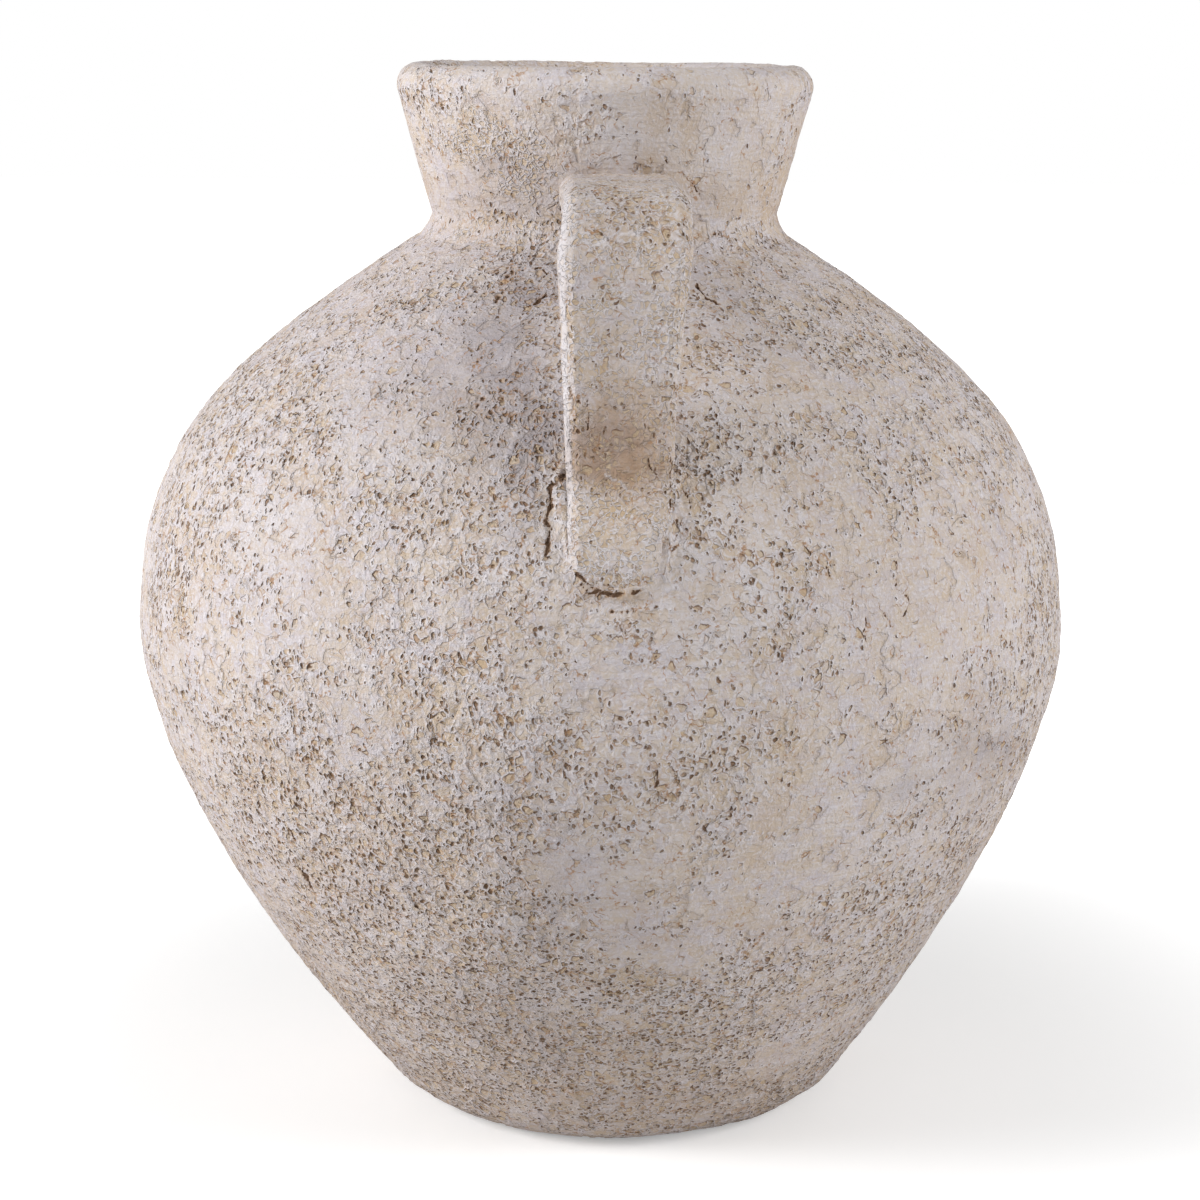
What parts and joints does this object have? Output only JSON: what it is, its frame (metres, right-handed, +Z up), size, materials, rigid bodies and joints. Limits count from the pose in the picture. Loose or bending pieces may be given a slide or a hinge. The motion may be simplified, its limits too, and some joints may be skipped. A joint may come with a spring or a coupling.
{
  "type": "terracotta jug",
  "caption": "Squat round-bellied terracotta jug with a flared neck, rolled rim and a strap handle, for storing and pouring or for display.",
  "frame": {"origin": "centre of the flat underside, on the surface that the jug stands on", "axes": "+Z up along the jug's axis, the handle on the -Y side, +X to the right seen from the handle"},
  "size_m": [0.35, 0.35, 0.391],
  "materials": {
    "lime_coat": "rough, matt, pitted lime coat over fired clay",
    "bare_clay": "matt fired clay with throwing marks"
  },
  "bodies": {
    "root": {"base_disc": "lime_coat", "base_seam_coil": "bare_clay", "lower_body": "lime_coat", "belly_seam_coil": "bare_clay", "upper_body": "lime_coat", "neck_seam_coil": "lime_coat", "neck_collar": "lime_coat", "rim_roll": "lime_coat", "upper_handle_pad": "lime_coat", "handle_strap": "lime_coat", "lower_handle_pad": "lime_coat"}
  },
  "joints": []
}
